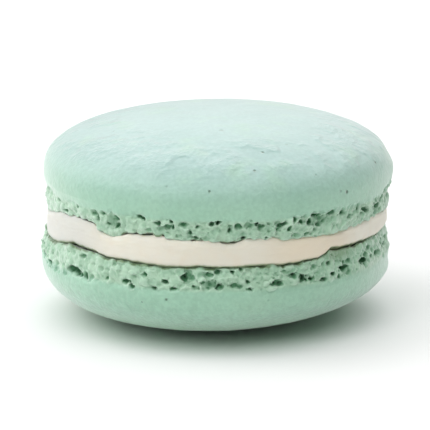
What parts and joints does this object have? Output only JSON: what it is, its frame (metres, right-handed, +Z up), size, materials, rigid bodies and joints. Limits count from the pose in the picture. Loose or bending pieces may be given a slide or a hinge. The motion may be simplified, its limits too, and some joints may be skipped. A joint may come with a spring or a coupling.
{
  "type": "french macaron",
  "caption": "Sandwich biscuit: domed almond meringue shells with ruffled, bubbly feet, stuck together by a layer of pale cream.",
  "frame": {"origin": "centre of the macaron's outline, on the surface it stands on", "axes": "+Z up through both shells; -Y towards the side that faces the viewer; +X to that viewer's right"},
  "size_m": [0.0458, 0.0454, 0.0264],
  "materials": {
    "shell": "smooth matt baked meringue, frothy and pitted at the foot",
    "cream": "smooth satin cream"
  },
  "bodies": {
    "root": {"shell_lower": "shell", "cream_filling": "cream", "shell_upper": "shell"}
  },
  "joints": []
}
